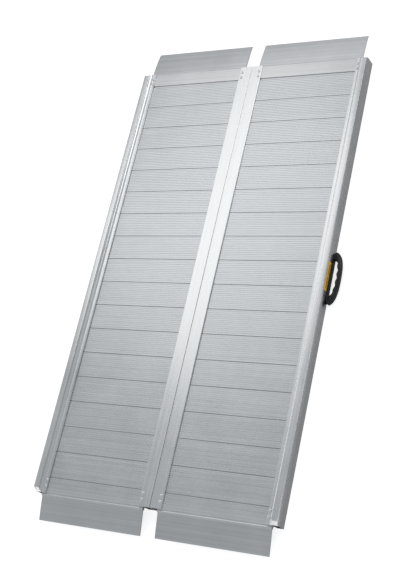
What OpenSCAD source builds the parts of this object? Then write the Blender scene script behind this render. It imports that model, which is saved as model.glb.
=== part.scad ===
// Portable folding wheelchair ramp.
//
// Two ribbed deck panels hang on a long hinge between them and fold underside to underside.
// Each panel is a row of hollow planks held between an outer rail, which carries the kerb,
// and a flat centre rail, which carries the hinge knuckles. A flat lip swings at the foot,
// a curved lip is fixed at the head, and a carrying handle is bolted to the right rail.
//
// Own frame, in millimetres: X across the ramp, +Y towards the head, +Z up, with the origin
// on the floor under the middle of the whole ramp. The modules work in the deck's frame,
// where X = 0 is the gap between the panels, Y = 0 is the foot of the deck and Z = 0 is the
// top of the rails' flanges; placed() moves them to the own frame. Every piece is drawn for
// the right panel, and on_side() mirrors it for the left one.

/* [Deck] */
// Width over the two outer rails
ramp_w = 762; // [700:1:900]
// Number of full planks in each panel
plank_count = 17; // [8:1:20]
// Distance from one plank to the next
plank_pitch = 75.8; // [70:0.1:90]
// Open seam between two planks
plank_seam = 0.4; // [0.2:0.1:1]
// Length of the half planks that close the deck at its foot and head
end_bar_l = 45.7; // [44:0.1:60]
// Depth of a plank
plank_h = 18; // [17:0.5:19]
// How far the deck lies below the top of the rails
deck_drop = 4; // [3.9:0.1:5]
// Fine cross ridges on each plank
ridge_count = 13; // [9:1:15]
// Depth of the grooves between the ridges
groove_d = 0.6; // [0.4:0.1:1.2]

/* [Rails] */
// Depth of the rails below the top of their flanges
rail_h = 37; // [36:0.5:40]
// Width of an outer rail with its flange
outer_rail_w = 35; // [34:0.5:40]
// Width of the outer rail's hollow beam
beam_w = 19.4; // [18:0.1:21]
// Width of a centre rail with its flange
center_rail_w = 36.4; // [35:0.1:40]
// Width of the centre rail's hollow beam
center_beam_w = 22; // [21:0.5:24]
// Thickness of the flanges
flange_t = 3.8; // [3:0.1:3.8]
// Height of the kerb above the flange
curb_h = 13.3; // [11:0.1:16]
// Width of the kerb at its top
curb_w = 16.7; // [14:0.1:18]
// Slope taken off each end of the kerb
curb_bevel = 10; // [4:1:20]

/* [Lips] */
// Length of the swinging lip at the foot
foot_lip_l = 71.7; // [50:0.1:80]
// Slope of the foot lip at rest
foot_lip_slope = 12.5; // [10:0.5:14]
// How far the fixed lip at the head reaches
head_lip_l = 86; // [60:1:110]
// Slope of the head lip where it leaves the deck
head_slope = 3; // [0:0.5:5]
// Slope of the head lip at its tip
head_tip_slope = 13; // [8:0.5:20]
// Thickness of the head lip
head_lip_t = 3.5; // [3:0.1:4]

/* [Hinge] */
// Number of hinge knuckles, shared by turns between the two panels
knuckle_count = 20; // [10:2:30]
// Radius of the knuckles
knuckle_r = 4; // [3.6:0.1:4.2]
// Radius of the hinge pin
pin_r = 2; // [1.5:0.1:2.2]

/* [Handle] */
// Length of the handle along the rail
handle_l = 160; // [150:1:180]
// How far the handle stands off the rail
handle_reach = 30; // [29:0.5:36]
// Thickness of the grip, away from the rail
grip_t = 12; // [10:0.5:13]
// Height of the handle
handle_h = 20; // [16:0.5:20]
// Distance from one finger ridge to the next
finger_l = 22; // [20:0.5:22]
// Depth of the finger hollows
finger_d = 1.5; // [0:0.1:2]

/* [Pads] */
// Number of rubber pads under each outer rail
pad_count = 3; // [2:1:5]
// Length of a rubber pad
pad_l = 60; // [30:1:90]
// Thickness of a rubber pad
pad_t = 5.5; // [5.4:0.1:8]

/* [Hidden] */
$fn = 48;
SIDES = ["left", "right"];
PIECES = ["outer_rail", "center_rail", "front_bar", "top_plate", "bottom_lip", "rail_screws", "pads"];
function two_digits(n) = str(n < 10 ? "0" : "", n);
function plank_name(side, n) = str(side, "_plank_", two_digits(n));

over = 1;                 // how far a cutting tool runs past the face that it cuts

// Lengths along Y
deck_l = plank_count * plank_pitch + 2 * end_bar_l;
plank_l = plank_pitch - plank_seam;
bar_l = end_bar_l - plank_seam;

// Places along X
half_gap = 0.4;           // half of the gap between the two centre rails
half_w = ramp_w / 2;
beam_x = half_w - beam_w;                 // inner face of the outer rail's beam
flange_x = half_w - outer_rail_w;         // inner edge of the outer rail's flange
center_beam_x = half_gap + center_beam_w; // outer face of the centre rail's beam
center_flange_x = half_gap + center_rail_w;
deck_x0 = center_beam_x + 0.4;            // the deck's two ends, just clear of the beams
deck_x1 = beam_x - 0.4;

// Heights
deck_z = -deck_drop;
plank_z0 = deck_z - plank_h;
beam_t = 2.2;             // walls of the beams
ledge_t = 2.4;            // the shelf under the planks

// Planks
tongue_l = 2.5;
tongue_z = [-14, -11];
slot_d = 3;
slot_fit = 0.3;
plank_chamfer = 1.2;
groove_top = 1.4;         // half width of a groove at its top and at its bottom
groove_bottom = 0.8;
cell_z = [plank_z0 + 1.6, deck_z - 2.6];
web_t = 1.6;
side_wall = [5, 2];       // the wall beside the slot and the wall beside the tongue
smooth_l = 10;            // plain strip at the foot of the deck
head_seam = [3, 3];       // width and depth of the open seam before the head's half plank

// Screws that hold the rails on the end bars
screw_x = [center_beam_x + 6.6, flange_x + 5];
screw_y = [19, 36];
screw_head_r = 4.75;
screw_head_h = 2.6;
screw_r = 2.4;
screw_hole_r = 2.5;
screw_l = 12;

// Hinge
hinge_z = -rail_h - 0.6;
pin_fit = 0.05;
knuckle_gap = 0.3;
knuckle_room = 0.4;       // how far a rail keeps clear of the knuckles
knuckle_l = deck_l / knuckle_count;

// Foot lip
lip_pivot = [-5, -10.5];
bead_r = 3;
socket_r = [bead_r + 0.35, 5];
lip_t = 3;
socket_mouth = [142, 231];

// Handle
handle_z = handle_h / 2 - rail_h;
handle_y = deck_l / 2 - 4;
bow_power = 2.6;          // how square the bow's plan is: 2 would be an ellipse
nose_l = 10;              // within this distance of the rail the handle's ends draw in
base_t = 3;               // the plate of the handle that lies on the rail
leg_t = 24;
leg_y = handle_l / 2 - 19;
bolt_l = 12;
bolt_head = [4.5, 3];     // radius and height

label_size = [0.3, 84, 17.5];
label_top = 0.5;
pad_w = 10.5;
pad_inset = 120;          // from the end of the deck to the end of the first pad

// The whole ramp's box, from which the own frame's origin follows
foot_y = lip_pivot[0] - foot_lip_l * cos(foot_lip_slope);
head_y = deck_l + head_lip_l;
box_mid = [handle_reach / 2, (foot_y + head_y) / 2];
floor_z = -rail_h - pad_t;

// Points on an arc about c, from angle a0 to angle a1
function arc(c, r, a0, a1, steps = 8) =
    [for (i = [0:steps]) let (a = a0 + (a1 - a0) * i / steps) c + r * [cos(a), sin(a)]];

module placed() {
    translate([-box_mid[0], -box_mid[1], -floor_z]) children();
}

module on_side(side) {
    if (side == "left") mirror([1, 0, 0]) children();
    else children();
}

// An outline in X and Z carried along Y
module along_y(y0, y1) {
    translate([0, y1, 0]) rotate([90, 0, 0]) linear_extrude(y1 - y0) children();
}

// An outline in Y and Z carried along X
module along_x(x0, x1) {
    translate([x0, 0, 0]) rotate([90, 0, 90]) linear_extrude(x1 - x0) children();
}

module rod_along_y(r, y0, y1) {
    translate([0, y0, 0]) rotate([-90, 0, 0]) cylinder(r = r, h = y1 - y0);
}

module rod_along_x(r, x0, x1) {
    translate([x0, 0, 0]) rotate([0, 90, 0]) cylinder(r = r, h = x1 - x0);
}

// The eight places of the rail screws
module at_screws() {
    for (x = screw_x, y = concat(screw_y, [for (y = screw_y) deck_l - y]))
        translate([x, y, 0]) children();
}

module screw_holes() {
    at_screws() translate([0, 0, -screw_l - over]) cylinder(r = screw_hole_r, h = screw_l + 2 * over);
}

// ---------------------------------------------------------------- rails

module outer_rail_outline() {
    round_r = 3;
    cove_r = 12;
    cove_lean = 17;       // where the cove turns into the kerb's upright side
    curb_x = half_w - curb_w;
    cove = [curb_x - cove_r * cos(cove_lean), cove_r];
    polygon(concat(
        [[flange_x, -flange_t], [beam_x, -flange_t], [beam_x, plank_z0], [flange_x + 3, plank_z0],
         [flange_x + 3, plank_z0 - ledge_t], [beam_x, plank_z0 - ledge_t], [beam_x, -rail_h],
         [half_w, -rail_h]],
        arc([half_w - round_r, curb_h - round_r], round_r, 0, 90),
        arc([curb_x + round_r, curb_h - round_r], round_r, 90, 180),
        arc(cove, cove_r, -cove_lean, -90, 12),
        [[flange_x, 0]]
    ));
}

module outer_rail() {
    color("gainsboro")
    difference() {
        along_y(0, deck_l) difference() {
            outer_rail_outline();
            translate([beam_x + beam_t, -rail_h + beam_t])
                square([beam_w - 2 * beam_t, rail_h - beam_t - flange_t]);
        }
        screw_holes();
        at_screws() cylinder(r = screw_head_r + 0.2, h = curb_h);
        for (y = [0, deck_l])
            along_x(flange_x + 5.5, half_w + over) polygon([
                [y, 1.5], [y, curb_h + over], [y + (y > 0 ? -1 : 1) * curb_bevel, curb_h + over]]);
        for (s = [-1, 1]) translate([0, handle_y + s * leg_y, handle_z])
            rod_along_x(screw_hole_r, half_w - beam_t - over, half_w + over);
    }
}

module center_rail_outline() {
    polygon([
        [half_gap, -rail_h], [center_beam_x, -rail_h], [center_beam_x, plank_z0 - ledge_t],
        [center_flange_x - 3, plank_z0 - ledge_t], [center_flange_x - 3, plank_z0],
        [center_beam_x, plank_z0], [center_beam_x, -flange_t], [center_flange_x, -flange_t],
        [center_flange_x, -0.6], [center_flange_x - 0.6, 0], [half_gap + 0.6, 0], [half_gap, -0.6]]);
}

module center_rail(side) {
    corner_r = knuckle_r + knuckle_room + 2.6;   // metal left around the hinge's room
    first = side == "right" ? 0 : 1;
    color("silver")
    difference() {
        union() {
            along_y(0, deck_l) difference() {
                center_rail_outline();
                difference() {
                    translate([half_gap + 3, -rail_h + 3.5])
                        square([center_beam_w - 3 - beam_t, rail_h - 3.5 - flange_t]);
                    translate([0, hinge_z]) circle(r = corner_r);
                }
                translate([0, hinge_z]) circle(r = knuckle_r + knuckle_room);
            }
            for (i = [first:2:knuckle_count - 1])
                along_y(i * knuckle_l + knuckle_gap, (i + 1) * knuckle_l - knuckle_gap) {
                    translate([0, hinge_z]) circle(r = knuckle_r);
                    translate([half_gap, -rail_h]) square([5.6, 6]);
                }
        }
        translate([0, 0, hinge_z]) rod_along_y(pin_r + pin_fit, -over, deck_l + over);
        screw_holes();
    }
}

// ---------------------------------------------------------------- deck

// The top edge of a ridged plank, from y1 back to y0
function ridges(y0, y1, count) = let (step = (y1 - y0) / count) [
    for (i = [count - 1:-1:1]) let (y = y0 + i * step)
        each [[y + groove_top, deck_z], [y + groove_bottom, deck_z - groove_d],
              [y - groove_bottom, deck_z - groove_d], [y - groove_top, deck_z]]];

// Outline in Y and Z of a plank of length l: a tongue towards the head, a slot towards the
// foot unless it is the first one, and ridges from ridge_y on
module plank_outline(l, slotted, ridge_y, ridges_here) {
    slot = [tongue_z[0] - slot_fit, tongue_z[1] + slot_fit];
    polygon(concat(
        [[0, plank_z0], [l, plank_z0], [l, tongue_z[0]], [l + tongue_l, tongue_z[0]],
         [l + tongue_l, tongue_z[1]], [l, tongue_z[1]],
         [l, deck_z - plank_chamfer], [l - plank_chamfer, deck_z]],
        ridges(ridge_y, l, ridges_here),
        [[plank_chamfer, deck_z], [0, deck_z - plank_chamfer]],
        slotted ? [[0, slot[1]], [slot_d, slot[1]], [slot_d, slot[0]], [0, slot[0]]] : []
    ));
}

// The hollow cells inside a plank
module cells(l, count) {
    cell_l = (l - side_wall[0] - side_wall[1] - (count - 1) * web_t) / count;
    for (i = [0:count - 1])
        translate([side_wall[0] + i * (cell_l + web_t), cell_z[0]])
            square([cell_l, cell_z[1] - cell_z[0]]);
}

module plank(n) {
    color("lightsteelblue")
    translate([0, end_bar_l + (n - 1) * plank_pitch, 0])
    along_x(deck_x0, deck_x1) difference() {
        plank_outline(plank_l, true, 0, ridge_count);
        cells(plank_l, 3);
    }
}

// The half plank at the foot, with the round socket that the foot lip swings in
module front_bar() {
    wedge = [for (a = [0:3]) let (t = socket_mouth[0] + (socket_mouth[1] - socket_mouth[0]) * a / 3)
        lip_pivot + 9 * [cos(t), sin(t)]];
    color("lightsteelblue")
    difference() {
        along_x(deck_x0, deck_x1) difference() {
            union() {
                plank_outline(bar_l, false, smooth_l, 6);
                translate(lip_pivot) circle(r = socket_r[1]);
                translate([-3, -14.5]) square([3 + over, 8]);
            }
            cells(bar_l, 2);
            translate(lip_pivot) circle(r = socket_r[0]);
            polygon(concat([lip_pivot], wedge));
        }
        screw_holes();
    }
}

// The flat lip at the foot: a round bead that turns in the front bar's socket, and a plate
module bottom_lip() {
    color("darkgray")
    along_x(deck_x0 + 0.5, deck_x1 - 0.5) {
        translate(lip_pivot) circle(r = bead_r);
        translate(lip_pivot) rotate(foot_lip_slope)
            polygon([[0, -lip_t / 2], [0, lip_t / 2], [-foot_lip_l + 4, lip_t / 2],
                     [-foot_lip_l, 0], [-foot_lip_l, -lip_t / 2]]);
    }
}

// The half plank at the head with its fixed lip, which curves down onto the landing. A bead
// runs across the deck where the lip begins.
module top_plate() {
    lip_r = head_lip_l / (sin(head_tip_slope) - sin(head_slope));
    tip_t = 2;
    steps = 12;
    center = [bar_l - lip_r * sin(head_slope), deck_z - lip_r * cos(head_slope)];
    slot = [tongue_z[0] - slot_fit, tongue_z[1] + slot_fit];
    function slope(i) = head_slope + (head_tip_slope - head_slope) * i / steps;
    function at(i, depth) = center + (lip_r - depth) * [sin(slope(i)), cos(slope(i))];
    color("gainsboro")
    difference() {
        translate([0, deck_l - bar_l, 0]) along_x(deck_x0, deck_x1) difference() {
            polygon(concat(
                [[0, plank_z0], [bar_l, plank_z0]],
                [for (i = [0:steps]) at(i, head_lip_t - (head_lip_t - tip_t) * i / steps)],
                [for (i = [steps:-1:1]) at(i, 0)],
                arc([bar_l + 1.6, deck_z - 1], 1.8, 28, 146, 6),
                [[head_seam[0], deck_z], [head_seam[0], deck_z - head_seam[1]], [0, deck_z - head_seam[1]],
                 [0, slot[1]], [slot_d, slot[1]], [slot_d, slot[0]], [0, slot[0]]]
            ));
            cells(bar_l, 2);
        }
        screw_holes();
    }
}

// ---------------------------------------------------------------- fittings

module rail_screws() {
    dome_r = (screw_head_r * screw_head_r + screw_head_h * screw_head_h) / (2 * screw_head_h);
    color("white")
    at_screws() difference() {
        union() {
            intersection() {
                translate([0, 0, screw_head_h - dome_r]) sphere(r = dome_r);
                cylinder(r = screw_head_r + over, h = screw_head_h + over);
            }
            translate([0, 0, -screw_l]) cylinder(r = screw_r, h = screw_l + 0.5);
        }
        translate([0, 0, screw_head_h - 1.6]) cylinder(r = 1.7, h = 1.6 + over, $fn = 6);
    }
}

module pads() {
    step = (deck_l - 2 * pad_inset - pad_l) / (pad_count - 1);
    x = beam_x + 0.9;
    color("dimgray")
    for (i = [0:pad_count - 1])
        along_y(pad_inset + i * step, pad_inset + i * step + pad_l)
            polygon([[x, -rail_h], [x, floor_z + 1], [x + 1, floor_z], [x + pad_w - 1, floor_z],
                     [x + pad_w, floor_z + 1], [x + pad_w, -rail_h]]);
}

module hinge_pin() {
    color("dimgray") translate([0, 0, hinge_z]) rod_along_y(pin_r, 0, deck_l);
}

// Half a superellipse in plan, a long and b deep, from one end to the other
function bow(a, b) = [for (i = [-36:36]) let (t = 2.5 * i)
    [b * pow(abs(cos(t)), 2 / bow_power), a * sign(t) * pow(abs(sin(t)), 2 / bow_power)]];

// The handle is a closed ring in plan, with a plate on the rail and finger hollows in its grip
module handle() {
    draw_in = 0.18;
    outside = [for (p = bow(handle_l / 2, handle_reach))
        [p[0], p[1] * (1 - draw_in * pow(max(0, 1 - p[0] / nose_l), 2))]];
    a = handle_l / 2 - leg_t;
    b = handle_reach - grip_t;
    corner_y = a * pow(1 - pow((base_t - 0.5) / b, bow_power), 1 / bow_power);
    inside = concat(
        [[base_t, -corner_y]],
        [for (p = bow(a, b)) if (p[0] > base_t + 0.5)
            let (hollow = abs(p[1]) < 2.5 * finger_l ? (1 - cos(360 * (p[1] / finger_l - 0.5))) / 2 : 0)
            [p[0] + finger_d * hollow, p[1]]],
        [[base_t, corner_y]]
    );
    color("black")
    translate([half_w, handle_y, handle_z]) difference() {
        translate([0, 0, -handle_h / 2]) linear_extrude(handle_h) difference() {
            polygon(outside);
            polygon(inside);
        }
        for (s = [-1, 1]) translate([0, s * leg_y, 0]) rod_along_x(screw_hole_r, -over, bolt_l - beam_t);
    }
}

module handle_bolts() {
    x0 = half_w - beam_t;     // inner face of the beam's outer wall
    color("silver")
    for (s = [-1, 1]) translate([x0, handle_y + s * leg_y, handle_z]) {
        rod_along_x(bolt_head[0], -bolt_head[1], 0);
        rod_along_x(screw_r, -over, bolt_l - over);
    }
}

module label() {
    color("gold")
    translate([half_w, handle_y - label_size[1] / 2, label_top - label_size[2]]) cube(label_size);
}

for (side = SIDES) placed() on_side(side) {
    outer_rail();
    center_rail(side);
    front_bar();
    top_plate();
    bottom_lip();
    rail_screws();
    pads();
    for (n = [1:plank_count])
        plank(n);
}
placed() hinge_pin();
placed() handle();
placed() handle_bolts();
placed() label();
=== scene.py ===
# %% [markdown]
# # A folding wheelchair ramp
# The ramp is two ribbed aluminium panels that lie side by side on a long hinge. Each panel is
# a row of extruded planks between a kerbed outer rail and a flat centre rail. The packed CAD
# model is loaded first: it says where everything is, and every new piece is placed from it.

# %% Load the frame
import math

import bmesh
import bpy
import numpy as np
from mathutils import Matrix, Vector
from mathutils.geometry import tessellate_polygon


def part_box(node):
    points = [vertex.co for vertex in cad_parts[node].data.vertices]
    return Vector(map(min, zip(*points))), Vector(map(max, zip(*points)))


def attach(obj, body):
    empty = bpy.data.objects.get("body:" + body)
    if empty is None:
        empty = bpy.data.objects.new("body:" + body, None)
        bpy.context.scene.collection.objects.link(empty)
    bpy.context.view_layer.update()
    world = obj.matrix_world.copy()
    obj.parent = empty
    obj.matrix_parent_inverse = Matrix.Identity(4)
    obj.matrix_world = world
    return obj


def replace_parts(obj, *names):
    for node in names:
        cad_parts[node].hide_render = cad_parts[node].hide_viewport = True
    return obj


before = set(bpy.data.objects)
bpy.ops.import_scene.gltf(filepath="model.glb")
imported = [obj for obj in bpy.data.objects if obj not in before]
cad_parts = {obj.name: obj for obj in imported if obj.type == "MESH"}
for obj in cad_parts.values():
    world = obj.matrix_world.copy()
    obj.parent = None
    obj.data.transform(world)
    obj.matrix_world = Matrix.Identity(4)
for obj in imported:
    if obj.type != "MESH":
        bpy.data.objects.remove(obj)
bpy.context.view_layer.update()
MM = 0.001
SIDES = ("left", "right")

# %% [markdown]
# ## The camera
# The ramp is seen from above and from its handle side, with the camera rolled so that the
# foot of the ramp is at the lower left. A camera looks down its own -Z, so its turn is worked
# out from a place, a target and a roll about the line of sight. A long lens keeps the
# ramp's edges nearly parallel.

# %% Camera
CAMERA_PLACE = Vector((1.5147, -1.0887, 2.5359))
CAMERA_TARGET = Vector((0.0132, -0.0754, 0.0400))
CAMERA_ROLL = math.radians(-48.39)
LENS_MM = 66.4

camera_data = bpy.data.cameras.new("camera")
camera_data.lens = LENS_MM
camera_data.sensor_width = 36.0
camera = bpy.data.objects.new("camera", camera_data)
bpy.context.scene.collection.objects.link(camera)
aim = (CAMERA_TARGET - CAMERA_PLACE).to_track_quat("-Z", "Y").to_matrix().to_4x4()
camera.matrix_world = Matrix.Translation(CAMERA_PLACE) @ aim @ Matrix.Rotation(CAMERA_ROLL, 4, "Z")
bpy.context.scene.camera = camera
print("camera to target: %.2f m" % (CAMERA_TARGET - CAMERA_PLACE).length)

# %% [markdown]
# ## Studio
# Bare metal shows what is around it more than it shows its own colour, so the light decides
# how this object reads. One large soft panel hangs where the middle of the deck mirrors it,
# which gives the rails their bright middle and leaves the foot darker. Weaker panels stand at
# the head, to the left and on the handle's side. The world is an even pale blue-grey. The floor
# glows white, and would whiten every face that leans down to it, so a grey flag that only
# reflections see lies over the floor under the ramp.

# %% Floor, world and lights
def area_light(name, place, target, size, power):
    """A rectangular soft panel at place that faces target."""
    data = bpy.data.lights.new(name, "AREA")
    data.shape = "RECTANGLE"
    data.size, data.size_y = size
    data.energy = power
    lamp = bpy.data.objects.new(name, data)
    bpy.context.scene.collection.objects.link(lamp)
    lamp.matrix_world = Matrix.Translation(place) @ (
        (Vector(target) - Vector(place)).to_track_quat("-Z", "Y").to_matrix().to_4x4())
    return lamp


def floor_sheet(name, box, glow, colour):
    """A flat sheet of paper between two corners, which may glow a little."""
    (x0, y0, z), (x1, y1, z) = box
    mesh = bpy.data.meshes.new(name)
    mesh.from_pydata([(x0, y0, z), (x1, y0, z), (x1, y1, z), (x0, y1, z)], [], [(0, 1, 2, 3)])
    sheet = bpy.data.objects.new(name, mesh)
    bpy.context.scene.collection.objects.link(sheet)
    material = bpy.data.materials.new(name + "_paper")
    material.use_nodes = True
    paper = material.node_tree.nodes["Principled BSDF"]
    paper.inputs["Base Color"].default_value = colour
    paper.inputs["Roughness"].default_value = 0.9
    paper.inputs["Emission Color"].default_value = (1, 1, 1, 1)
    paper.inputs["Emission Strength"].default_value = glow
    mesh.materials.append(material)
    return sheet


FLOOR_BOX = ((-12, -12, 0), (12, 12, 0))
FLAG_BOX = ((-0.42, -0.80, 0.003), (0.75, 0.80, 0.003))
floor_sheet("floor", FLOOR_BOX, 0.7, (0.86, 0.86, 0.86, 1))
flag = floor_sheet("flag", FLAG_BOX, 0.12, (0.30, 0.30, 0.31, 1))
flag.visible_camera = flag.visible_diffuse = flag.visible_shadow = False
area_light("key_panel", (-1.5, 1.5, 2.7), (0.0, 0.2, 0.0), (2.0, 1.5), 8.5)
area_light("head_panel", (-0.9, 3.4, 2.3), (0.0, 0.6, 0.0), (1.8, 1.2), 3)
area_light("side_panel", (-3.2, 0.9, 1.1), (0.3, 0.1, 0.0), (3.0, 1.2), 9)
area_light("kerb_panel", (2.3, 2.4, 1.9), (-0.3, 0.5, 0.0), (1.6, 1.8), 16)
world = bpy.data.worlds.new("studio")
bpy.context.scene.world = world
world.use_nodes = True
sky = world.node_tree.nodes["Background"]
sky.inputs["Color"].default_value = (0.93, 0.96, 1.0, 1)
sky.inputs["Strength"].default_value = 0.46
bpy.context.scene.view_settings.view_transform = "Standard"

# %% [markdown]
# ## Shader sums
# A node tree is a sum written with wires. The small class below wraps a node's output so
# that the sum can be written as Python: `1 - mask * 0.3` adds the Math nodes for it. A finish
# makes every other node with one method, which takes the node's type, its settings and what
# goes into its sockets.

# %% Sockets and finishes
class Wire:
    """A node's output. Sums with it add the Math nodes that work them out."""

    def __init__(self, finish, socket):
        self.finish = finish
        self.socket = socket

    def sum(self, operation, a, b=0.0):
        return self.finish.node("ShaderNodeMath", {"operation": operation}, {0: a, 1: b})

    def __add__(self, other):
        return self.sum("ADD", self, other)

    def __radd__(self, other):
        return self.sum("ADD", other, self)

    def __sub__(self, other):
        return self.sum("SUBTRACT", self, other)

    def __rsub__(self, other):
        return self.sum("SUBTRACT", other, self)

    def __mul__(self, other):
        return self.sum("MULTIPLY", self, other)

    def __rmul__(self, other):
        return self.sum("MULTIPLY", other, self)

    def __gt__(self, other):
        return self.sum("GREATER_THAN", self, other)

    def __lt__(self, other):
        return self.sum("LESS_THAN", self, other)

    def __abs__(self):
        return self.sum("ABSOLUTE", self)


class Finish:
    """A material with its Principled shader, and the ways to build patterns in it."""

    def __init__(self, name):
        self.material = bpy.data.materials.new(name)
        self.material.use_nodes = True
        self.tree = self.material.node_tree
        self.shader = self.tree.nodes["Principled BSDF"]
        self.place = self.node("ShaderNodeTexCoord", output="Object")

    def node(self, kind, settings=None, inputs=None, output=0):
        """Adds a node: its settings first, then each socket's value or wire."""
        made = self.tree.nodes.new(kind)
        for key, value in (settings or {}).items():
            if key == "stops":
                self.set_stops(made.color_ramp, value)
            else:
                setattr(made, key, value)
        for key, value in (inputs or {}).items():
            self.plug(made.inputs[key], value)
        return Wire(self, made.outputs[output])

    def plug(self, socket, value):
        if isinstance(value, Wire):
            self.tree.links.new(value.socket, socket)
        else:
            socket.default_value = value

    @staticmethod
    def set_stops(ramp, stops):
        while len(ramp.elements) < len(stops):
            ramp.elements.new(0.5)
        for element, (at, grey) in zip(ramp.elements, stops):
            element.position = at
            element.color = (grey, grey, grey, 1)

    def set(self, **values):
        """Sets the shader's sockets: base_color=... goes to Base Color."""
        for key, value in values.items():
            self.plug(self.shader.inputs[key.replace("_", " ").title()], value)

    def noise(self, scale, stretch=(1, 1, 1), detail=3.0, rough=0.55, shift=0.0):
        """Noise from 0 to 1, with scale in cycles per metre, stretched along the axes."""
        place = self.node("ShaderNodeMapping", None, {
            "Vector": self.place, "Location": (shift, shift, shift),
            "Scale": tuple(scale * s for s in stretch)})
        return self.node("ShaderNodeTexNoise", None, {
            "Vector": place, "Scale": 1.0, "Detail": detail, "Roughness": rough})

    def steps(self, value, low, high):
        """0 below low, 1 above high, and straight between them."""
        return self.node("ShaderNodeMapRange", None, {
            "Value": value, "From Min": low, "From Max": high})

    def blend(self, factor, first, second):
        """A colour between two colours."""
        return self.node("ShaderNodeMix", {"data_type": "RGBA"},
                         {0: factor, 6: first, 7: second}, output=2)

    def relief(self, height, depth):
        """Raises the surface by height times depth, in metres, in its shading only."""
        self.set(normal=self.node("ShaderNodeBump", None, {
            "Height": height, "Distance": depth, "Strength": 1.0}))


def grey(level, blue=0.0):
    return (level * (1 - blue), level * (1 - blue * 0.35), level, 1)


print("wires:", [name for name in vars(Wire) if name.startswith("__")][:4], "...")

# %% [markdown]
# ## Aluminium
# The rails, planks and lips are extrusions with their mill finish: the die leaves fine
# straight lines along the length that came out of it. Rails run along the ramp and
# planks run across it, so the same finish is made with its grain along Y or along X. It is
# noise stretched a thousandfold along the grain, at two scales: fine lines that change the
# relief and the gloss, and broad bands that change the grey. A slow cloud stands for
# handling marks, and rare thin scratches cross the grain.

# %% The aluminium finishes
def mill_aluminium(name, grain, level, blue, gloss, line_depth):
    """Extruded aluminium whose lines run along the axis grain, 0 for X and 1 for Y."""
    finish = Finish(name)
    stretch = [1.0, 1.0, 1.0]
    stretch[grain] = 0.006
    lines = finish.noise(1500, stretch, detail=4, rough=0.6)
    bands = finish.noise(130, stretch, detail=3, rough=0.5, shift=3.1)
    cloud = finish.noise(9, detail=4, rough=0.6, shift=7.7)
    slant = [0.05, 0.9, 1.0] if grain else [0.9, 0.05, 1.0]
    scratch = finish.steps(finish.noise(260, slant, detail=1.5, rough=0.4, shift=1.9), 0.735, 0.76)
    tone = finish.steps(0.45 * bands + 0.25 * lines + 0.30 * cloud, 0.30, 0.70)
    finish.set(
        metallic=1.0,
        base_color=finish.blend(tone, grey(level * 0.80, blue), grey(level * 1.08, blue)),
        roughness=gloss + 0.10 * (cloud - 0.5) + 0.12 * (bands - 0.5) + 0.10 * scratch,
    )
    finish.relief(lines + 0.5 * bands - 0.6 * scratch, line_depth * MM)
    return finish.material


rail_aluminium = mill_aluminium("rail_aluminium", 1, 0.82, 0.010, 0.27, 0.014)
deck_aluminium = mill_aluminium("deck_aluminium", 0, 0.78, 0.020, 0.36, 0.004)
lip_aluminium = mill_aluminium("lip_aluminium", 0, 0.74, 0.012, 0.34, 0.010)
print("finishes:", [m.name for m in bpy.data.materials if "aluminium" in m.name])

# %% [markdown]
# ## Steel, plastic and rubber
# The screws are plated steel, bright with faint turning rings. The handle is a glossy black
# moulding whose skin has a fine leathery grain. The pads are dull rubber with a bloom
# of grey dust.

# %% The small finishes
def plated_steel():
    finish = Finish("plated_steel")
    haze = finish.noise(400, detail=3)
    finish.set(metallic=1.0, roughness=0.18 + 0.14 * haze,
               base_color=finish.blend(haze, grey(0.84), grey(0.95)))
    finish.relief(finish.noise(3000, detail=2), 0.003 * MM)
    return finish.material


def black_moulding():
    finish = Finish("black_moulding")
    grain = finish.noise(1400, detail=2, rough=0.5)
    wear = finish.steps(finish.noise(60, detail=5, rough=0.65, shift=2.2), 0.55, 0.75)
    finish.set(base_color=finish.blend(wear, grey(0.008), grey(0.022)),
               roughness=0.16 + 0.08 * grain + 0.12 * wear)
    finish.relief(grain, 0.02 * MM)
    return finish.material


def pad_rubber():
    finish = Finish("pad_rubber")
    dust = finish.steps(finish.noise(120, detail=5, rough=0.7), 0.45, 0.75)
    finish.set(base_color=finish.blend(dust, grey(0.018), grey(0.06)), roughness=0.78 + 0.14 * dust)
    finish.relief(finish.noise(1800, detail=3), 0.03 * MM)
    return finish.material


steel = plated_steel()
black_plastic = black_moulding()
rubber = pad_rubber()
print("finishes:", steel.name, black_plastic.name, rubber.name)

# %% [markdown]
# ## Dressing the frame
# Most CAD nodes already have their true shape, so they stay and only get a finish. A node's
# name says which one.

# %% Finishes for the CAD nodes
FINISH_OF = {
    "outer_rail": rail_aluminium, "center_rail": rail_aluminium, "plank": deck_aluminium,
    "front_bar": deck_aluminium, "top_plate": lip_aluminium, "bottom_lip": lip_aluminium,
    "screws": steel, "bolts": steel, "pin": steel, "pads": rubber, "handle": black_plastic,
    "label": black_plastic,
}


def dress(node, material):
    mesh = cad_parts[node].data
    mesh.materials.clear()
    mesh.materials.append(material)


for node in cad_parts:
    dress(node, next(m for word, m in FINISH_OF.items() if word in node))
print("dressed:", len(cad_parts))

# %% [markdown]
# ## Surfaces from arrays
# A new piece is a grid of points worked out at once with numpy. The helper below turns one or
# more such grids into a mesh. A grid can close on itself in either direction, and open ends
# are closed with a fan to their middle point.

# %% Grids to meshes
def finish_piece(name, mesh, material, body, crease=35.0):
    """Smooth-shades a mesh, except at edges sharper than crease degrees, and hangs it on a body."""
    made = bmesh.new()
    made.from_mesh(mesh)
    bmesh.ops.remove_doubles(made, verts=made.verts, dist=1e-6)
    bmesh.ops.recalc_face_normals(made, faces=made.faces)
    made.to_mesh(mesh)
    made.free()
    mesh.shade_smooth()
    mesh.set_sharp_from_angle(angle=math.radians(crease))
    mesh.materials.append(material)
    piece = bpy.data.objects.new(name, mesh)
    bpy.context.scene.collection.objects.link(piece)
    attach(piece, body)
    return piece


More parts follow.
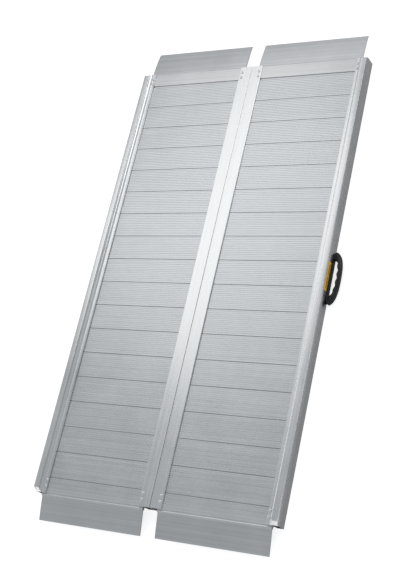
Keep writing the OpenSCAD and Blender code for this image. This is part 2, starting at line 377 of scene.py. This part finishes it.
def grid_faces(rows, columns, close_rows, close_columns, first=0):
    """Quads of a grid of points numbered row by row from first."""
    r = np.arange(rows if close_rows else rows - 1)[:, None]
    c = np.arange(columns if close_columns else columns - 1)[None, :]
    r1, c1 = (r + 1) % rows, (c + 1) % columns
    quads = np.stack([r * columns + c, r * columns + c1, r1 * columns + c1, r1 * columns + c], -1)
    return (quads.reshape(-1, 4) + first).tolist()


def tube_mesh(name, grids):
    """Closed tubes: each grid is (rings, points round a ring, 3), with its two ends fanned."""
    points, faces, first = [], [], 0
    for grid in grids:
        rings, around = grid.shape[:2]
        ends = np.stack([grid[0].mean(0), grid[-1].mean(0)])
        points += [grid.reshape(-1, 3), ends]
        faces += grid_faces(rings, around, False, True, first)
        hub = first + rings * around
        step = np.arange(around)
        fan = np.stack([step, (step + 1) % around], -1) + first
        faces += [(hub, int(b), int(a)) for a, b in fan]
        faces += [(hub + 1, int(a), int(b)) for a, b in fan + (rings - 1) * around]
        first = hub + 2
    mesh = bpy.data.meshes.new(name)
    mesh.from_pydata(np.concatenate(points).tolist(), [], faces)
    return mesh


print("grid of 3 by 4, closed one way:", len(grid_faces(3, 4, False, True)), "quads")

# %% [markdown]
# ## Outer rails and lips
# These are extrusions: one outline carried along a straight line. Most corners of the CAD
# outline are sharp, but a die can't cut one, and the small radii are what catch the light along
# a rail. So the outline is given here as corners with a radius each, and every corner becomes
# an arc. The outline's inner loop is the hollow of the beam.

# %% Rounded outlines
ARC_STEPS = 6


def rounded(corners):
    """Corners (u, v, radius) to a closed outline: each corner becomes an arc that touches both sides."""
    at = np.array([c[:2] for c in corners], float)
    radius = np.array([c[2] for c in corners], float)
    to_last = np.roll(at, 1, 0) - at
    to_next = np.roll(at, -1, 0) - at
    to_last /= np.linalg.norm(to_last, axis=1, keepdims=True)
    to_next /= np.linalg.norm(to_next, axis=1, keepdims=True)
    half = np.arccos(np.clip((to_last * to_next).sum(1), -1, 1)) / 2
    middle = to_last + to_next
    middle /= np.linalg.norm(middle, axis=1, keepdims=True)
    center = at + middle * (radius / np.sin(half))[:, None]
    start = at + to_last * (radius / np.tan(half))[:, None] - center
    stop = at + to_next * (radius / np.tan(half))[:, None] - center
    a0 = np.arctan2(start[:, 1], start[:, 0])
    turn = np.arctan2(stop[:, 1], stop[:, 0]) - a0
    turn = (turn + np.pi) % (2 * np.pi) - np.pi
    t = np.linspace(0, 1, ARC_STEPS + 1)[None, :]
    angle = a0[:, None] + turn[:, None] * t
    ring = center[:, None, :] + radius[:, None, None] * np.stack([np.cos(angle), np.sin(angle)], -1)
    return ring.reshape(-1, 2)


def extrusion_mesh(name, loops, ends, to_place, bevel=None):
    """Carries closed loops from ends[0] to ends[1]; bevel(loop, side) moves each end's points."""
    points, faces, first = [], [], 0
    for loop in loops:
        n = len(loop)
        for side in (0, 1):
            along = np.full(n, ends[side]) + (bevel(loop, side) if bevel else 0)
            points.append(to_place(loop[:, 0], along, loop[:, 1]))
        faces += grid_faces(2, n, False, True, first)
        first += 2 * n
    order, start = [], 0
    for loop in loops:
        order += list(range(start, start + len(loop)))
        start += 2 * len(loop)
    flat = [[Vector((u, v, 0)) for u, v in loop] for loop in loops]
    jump = np.concatenate([np.full(len(loop), len(loop)) for loop in loops])
    for a, b, c in tessellate_polygon(flat):
        faces.append((order[a], order[b], order[c]))
        faces.append(tuple(order[i] + int(jump[i]) for i in (a, c, b)))
    mesh = bpy.data.meshes.new(name)
    mesh.from_pydata(np.concatenate(points).tolist(), [], faces)
    return mesh


def along_y(u, s, v):
    return np.stack([u, s, v], -1) * MM


def along_x(u, s, v):
    return np.stack([s, u, v], -1) * MM


print("a rounded square has", len(rounded([(0, 0, 1), (9, 0, 1), (9, 9, 1), (0, 9, 1)])), "points")

# %% [markdown]
# ### The kerbed rail
# The rail is a hollow beam with a flange that laps over the planks, a shelf under them, and
# the kerb that keeps a wheel on the ramp. The kerb's inner side is a cove, an arc that
# turns from the flange up into the kerb. The kerb's ends slope back so that nothing catches.

# %% Outer rails
KERB_TALL = 13.3      # kerb's height over the flange
SLOPE_FROM = 1.5      # height over the flange where the end's slope starts
SLOPE_RUN = 10.0      # how far the kerb's top stops short of the rail's end


def node_box_mm(node):
    low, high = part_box(node)
    return np.array(low) / MM, np.array(high) / MM


def kerbed_rail(side):
    low, high = node_box_mm(side + "_outer_rail")
    outward = 1 if side == "right" else -1
    outer = high[0] if side == "right" else low[0]
    top = high[2]
    flange = top - KERB_TALL
    inner, beam, curb, wall = 35.0, 19.4, 16.7, 2.2
    flange_under = flange - 3.8
    shelf_end, shelf_top, shelf_under = -inner + 3, flange - 22, flange - 24.4
    cove_start = 17
    cove = np.radians(np.linspace(-cove_start, -90, 15))
    cove_r = 12.0
    cove_u = -curb - cove_r * math.cos(math.radians(cove_start)) + cove_r * np.cos(cove)
    cove_v = flange + cove_r + cove_r * np.sin(cove)
    body_loop = rounded([
        (-inner, flange, 0.7), (-inner, flange_under, 0.5), (-beam, flange_under, 0.3),
        (-beam, shelf_top, 0.3), (shelf_end, shelf_top, 0.4), (shelf_end, shelf_under, 0.4),
        (-beam, shelf_under, 0.3), (-beam, low[2], 0.8), (0, low[2], 0.8),
        (0, top, 0.8), (-curb, top, 2.4)])
    loop = np.concatenate([body_loop, np.stack([cove_u, cove_v], -1)])
    hollow = rounded([(-beam + wall, flange_under, 0.8), (-wall, flange_under, 0.8),
                      (-wall, low[2] + wall, 0.8), (-beam + wall, low[2] + wall, 0.8)])

    def bevel(points, end):
        rise = np.clip((points[:, 1] - flange - SLOPE_FROM) / (top - flange - SLOPE_FROM), 0, 1)
        return rise * SLOPE_RUN * (1 - 2 * end)

    for part in (loop, hollow):
        part[:, 0] = outer + outward * part[:, 0]
    mesh = extrusion_mesh(side + "_kerbed_rail", [loop, hollow], (low[1], high[1]), along_y, bevel)
    piece = finish_piece(side + "_kerbed_rail", mesh, rail_aluminium, side + "_panel")
    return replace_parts(piece, side + "_outer_rail")


for side in SIDES:
    print(side, "rail:", len(kerbed_rail(side).data.polygons), "faces")

# %% [markdown]
# ### The lips
# The foot lip is a flat plate with a round bead that turns in the front bar's socket. The
# head lip is one extrusion with the last half plank, and follows an arc of half a metre
# radius, so that a wheel rolls off it without a bump. As smooth arcs they reflect the light
# in one even sweep, which the CAD's short flats would break.

# %% Foot lips and head plates
def foot_lip(side):
    low, high = node_box_mm(side + "_bottom_lip")
    bead_r, plate, slope, reach = 3.0, 3.0, math.radians(12.5), 71.7
    pivot = np.array([high[1] - bead_r, high[2] - bead_r])
    neck = math.asin(plate / 2 / bead_r)
    angle = np.linspace(neck - math.pi, math.pi - neck, 33)
    bead = bead_r * np.stack([np.cos(angle), np.sin(angle)], -1)
    tip = rounded([(-reach, -plate / 2, 0.3), (-reach, 0.4, 0.3), (-reach + 4, plate / 2, 2.0),
                   (-reach / 2, plate / 2, 0.0), (-reach / 2, -plate / 2, 0.0)])[:3 * (ARC_STEPS + 1)]
    loop = np.concatenate([bead, tip[::-1]])
    turn = np.array([[math.cos(slope), math.sin(slope)], [-math.sin(slope), math.cos(slope)]])
    loop = loop @ turn + pivot
    mesh = extrusion_mesh(side + "_foot_lip", [loop], (low[0], high[0]), along_x)
    piece = finish_piece(side + "_foot_lip", mesh, lip_aluminium, side + "_lip")
    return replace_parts(piece, side + "_bottom_lip")


def head_plate(side):
    low, high = node_box_mm(side + "_top_plate")
    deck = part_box("right_plank_01")[1].z / MM
    bar, reach, thick, tip_thick = 45.3, 86.0, 3.5, 2.0
    slopes = np.radians(np.linspace(3, 13, 41))
    arc_r = reach / (math.sin(slopes[-1]) - math.sin(slopes[0]))
    start = np.array([high[1] - reach, deck])
    center = start - arc_r * np.array([math.sin(slopes[0]), math.cos(slopes[0])])
    ray = np.stack([np.sin(slopes), np.cos(slopes)], -1)
    depth = np.linspace(thick, tip_thick, len(slopes))[:, None]
    under = center + (arc_r - depth) * ray
    over = (center + arc_r * ray)[:1:-1]
    bead_at = np.radians(np.linspace(28, 146, 9))
    bead = start + [1.6, -1.0] + 1.8 * np.stack([np.cos(bead_at), np.sin(bead_at)], -1)
    y0 = start[0] - bar
    block = rounded([
        (y0 + 3, deck, 0.6), (y0 + 3, deck - 3, 0.2), (y0, deck - 3, 0.4), (y0, deck - 6.7, 0.2),
        (y0 + 3, deck - 6.7, 0.2), (y0 + 3, deck - 10.3, 0.2), (y0, deck - 10.3, 0.2),
        (y0, low[2], 0.6), (start[0], low[2], 0.6), (start[0], deck - thick - 0.5, 0.2)])
    loop = np.concatenate([block, under, over, bead])
    cells = [rounded([(a, low[2] + 1.6, 0.6), (b, low[2] + 1.6, 0.6),
                      (b, deck - 3.4, 0.6), (a, deck - 3.4, 0.6)])
             for a, b in ((y0 + 5, y0 + 23.3), (y0 + 24.9, y0 + 43.3))]
    mesh = extrusion_mesh(side + "_head_plate", [loop] + cells, (low[0], high[0]), along_x)
    piece = finish_piece(side + "_head_plate", mesh, lip_aluminium, side + "_panel")
    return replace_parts(piece, side + "_top_plate")


for side in SIDES:
    print(side, "lips:", len(foot_lip(side).data.polygons), len(head_plate(side).data.polygons), "faces")

# %% [markdown]
# ## Rail screws
# Each screw is a surface of revolution: a profile of radius and height turned about its
# axis. The six-sided socket in the head is the same surface with a radius that follows a
# hexagon where the profile goes down into the recess.

# %% Rail screws
HEAD_RADIUS = 4.75
HEAD_HEIGHT = 2.6
PAIR_PITCH = 17       # between the two screws of a pair


def screw_grid(x, y, seat, turn):
    """Profile (radius, height, how six-sided) turned about the vertical line at x, y."""
    profile = np.array([
        (2.4, -12, 0), (2.4, -0.2, 0), (4.4, 0.0, 0), (HEAD_RADIUS, 0.25, 0), (4.62, 0.8, 0),
        (4.2, 1.45, 0), (3.5, 2.05, 0), (2.7, 2.42, 0), (2.0, 2.56, 0.5), (1.75, 2.5, 1),
        (1.7, 1.1, 1), (0.6, 0.8, 1)])
    angle = np.linspace(0, 2 * np.pi, 48, endpoint=False)
    sixth = np.pi / 3
    hexagon = np.cos(sixth / 2) / np.cos((angle - turn) % sixth - sixth / 2)
    r, z, six = (profile[:, i][:, None] for i in range(3))
    r = r * (1 - six + six * hexagon[None, :] * 1.06)
    return np.stack([x + r * np.cos(angle), y + r * np.sin(angle), seat + z + 0 * angle], -1) * MM


def rail_screws(side):
    low, high = node_box_mm(side + "_rail_screws")
    xs = (low[0] + HEAD_RADIUS, high[0] - HEAD_RADIUS)
    first, last = low[1] + HEAD_RADIUS, high[1] - HEAD_RADIUS
    ys = (first, first + PAIR_PITCH, last - PAIR_PITCH, last)
    seat = high[2] - HEAD_HEIGHT
    places = [(x, y) for x in xs for y in ys]
    grids = [screw_grid(x, y, seat, 0.7 * i) for i, (x, y) in enumerate(places)]
    mesh = tube_mesh(side + "_dome_screws", grids)
    piece = finish_piece(side + "_dome_screws", mesh, steel, side + "_panel")
    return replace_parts(piece, side + "_rail_screws")


for side in SIDES:
    print(side, "screws:", len(rail_screws(side).data.polygons), "faces")

# %% [markdown]
# ## The handle
# The handle is a moulded ring: a plate that lies on the rail, and a bow with finger hollows
# inside. In plan both its outlines are superellipses, |x/b|^p + |y/a|^p = 1, which are squarer
# than an ellipse when p is over 2. A grid runs round the ring one way and round its
# rounded section the other, and each section is stretched between the two outlines.

# %% Handle
BOW_POWER = 2.6
SECTION_POWER = 3.4


def power(value, exponent):
    """|value| to the exponent, with value's sign."""
    return np.sign(value) * np.abs(value) ** exponent


def bow(a, b, t):
    """Half a superellipse, a long and b deep, at angles t from -90 to 90 degrees."""
    return b * power(np.cos(t), 2 / BOW_POWER), a * power(np.sin(t), 2 / BOW_POWER)


def handle_ring():
    low, high = node_box_mm("handle")
    reach, long, tall = high - low
    grip, leg, plate, nose, draw_in = 12.0, 24.0, 3.0, 10.0, 0.18
    pitch, dip, scoop_depth = 22.0, 2.2, 1.6
    t = np.radians(np.linspace(-90, 90, 241))
    back = np.linspace(1, -1, 90)[1:-1]

    x_out, y_out = bow(long / 2, reach, t)
    y_out = y_out * (1 - draw_in * np.clip(1 - x_out / nose, 0, None) ** 2)
    x_in, y_in = bow(long / 2 - leg, reach - grip, t)
    hollow = (1 - np.cos(2 * np.pi * (y_in / pitch - 0.5))) / 2 * (np.abs(y_in) < 2.5 * pitch)
    x_in = np.maximum(x_in + dip * hollow, plate)
    x_out = np.concatenate([x_out, 0 * back])
    y_out = np.concatenate([y_out, y_out.max() * back])
    x_in = np.concatenate([x_in, plate + 0 * back])
    y_in = np.concatenate([y_in, y_in.max() * back])
    hollow = np.concatenate([hollow, 0 * back])

    around = np.linspace(0, 2 * np.pi, 48, endpoint=False)
    to_out = power(np.cos(around), 2 / SECTION_POWER)[None, :]
    upward = power(np.sin(around), 2 / SECTION_POWER)[None, :]
    x = (x_out + x_in)[:, None] / 2 + (x_out - x_in)[:, None] / 2 * to_out
    y = (y_out + y_in)[:, None] / 2 + (y_out - y_in)[:, None] / 2 * to_out
    scoop = scoop_depth * hollow[:, None] * np.clip(-to_out, 0, 1)
    z = (tall / 2 - scoop) * upward
    grid = np.stack([low[0] + x, (low[1] + high[1]) / 2 + y, (low[2] + high[2]) / 2 + z], -1) * MM
    mesh = bpy.data.meshes.new("handle_ring")
    rows, columns = grid.shape[:2]
    mesh.from_pydata(grid.reshape(-1, 3).tolist(), [], grid_faces(rows, columns, True, True))
    piece = finish_piece("handle_ring", mesh, black_plastic, "right_panel")
    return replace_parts(piece, "handle")


print("handle:", len(handle_ring().data.polygons), "faces")

# %% [markdown]
# ## The label
# A printed film sits on the rail above the handle: a yellow field with two orange blocks. It
# carries no words or marks. The film is a thin plate with rounded corners, and its own UV map
# runs from 0 to 1 along it and up it, so the print follows the film.

# %% Label
def label_finish():
    finish = Finish("label_film")
    map_node = finish.node("ShaderNodeUVMap", {"uv_map": "film"})
    up = finish.node("ShaderNodeSeparateXYZ", None, {0: map_node}, output=1)
    along = finish.node("ShaderNodeSeparateXYZ", None, {0: map_node}, output=0)
    fade = finish.noise(500, detail=4)
    blocks = (abs(abs(along - 0.5) - 0.23) < 0.19) * (abs(up - 0.47) < 0.27)
    yellow = finish.blend(fade, (0.92, 0.60, 0.012, 1), (0.84, 0.52, 0.010, 1))
    finish.set(base_color=finish.blend(blocks, yellow, (0.62, 0.24, 0.010, 1)),
               roughness=0.30 + 0.15 * fade)
    finish.relief(finish.noise(900, detail=2), 0.01 * MM)
    return finish.material


def label_film():
    low, high = node_box_mm("label")
    loop = rounded([(low[1], low[2], 2.0), (high[1], low[2], 2.0), (high[1], high[2], 2.0),
                    (low[1], high[2], 2.0)])
    mesh = extrusion_mesh("label_sheet", [loop], (low[0], high[0]), along_x)
    piece = finish_piece("label_sheet", mesh, label_finish(), "right_panel")
    uv = mesh.uv_layers.new(name="film")
    corner = np.zeros(len(mesh.loops), int)
    mesh.loops.foreach_get("vertex_index", corner)
    co = np.zeros(len(mesh.vertices) * 3)
    mesh.vertices.foreach_get("co", co)
    co = co.reshape(-1, 3)[corner] / MM
    flat = (co[:, 1:] - low[1:]) / (high[1:] - low[1:])
    uv.data.foreach_set("uv", flat.ravel())
    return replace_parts(piece, "label")


print("label:", len(label_film().data.polygons), "faces")

# %% [markdown]
# ## Rubber pads
# The pads under the rails are ribbed strips. Each is a tube of rectangular rings whose
# lower side rises and falls along the strip, and whose ends are drawn in.

# %% Pads
RIB_PITCH = 6.0
GROOVE = 0.8          # depth of the gaps between ribs, and how far the ends draw in


def pad_grid(x0, x1, y0, y1, floor, top):
    """Rings of a rounded rectangle along Y: the lower side is lifted by the gaps between ribs."""
    y = np.linspace(y0, y1, 121)
    gap = GROOVE * (np.cos(2 * np.pi * (y - y0) / RIB_PITCH) > 0.75)
    inset = GROOVE * np.clip(1 - np.minimum(y - y0, y1 - y) / GROOVE, 0, 1)
    ring = rounded([(-1, 0, 0.18), (1, 0, 0.18), (1, 1, 0.0), (-1, 1, 0.0)])
    width = (x1 - x0) / 2 - inset[:, None]
    x = (x0 + x1) / 2 + ring[None, :, 0] * width
    z_low = floor + gap[:, None] + inset[:, None]
    z = z_low + ring[None, :, 1] * (top - z_low)
    return np.stack([x, np.broadcast_to(y[:, None], x.shape), z], -1) * MM


def pads(side):
    low, high = node_box_mm(side + "_pads")
    length, count = 60.0, 3
    starts = low[1] + np.arange(count) * (high[1] - low[1] - length) / (count - 1)
    grids = [pad_grid(low[0], high[0], y, y + length, low[2], high[2]) for y in starts]
    mesh = tube_mesh(side + "_ribbed_pads", grids)
    piece = finish_piece(side + "_ribbed_pads", mesh, rubber, side + "_panel")
    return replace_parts(piece, side + "_pads")


for side in SIDES:
    print(side, "pads:", len(pads(side).data.polygons), "faces")
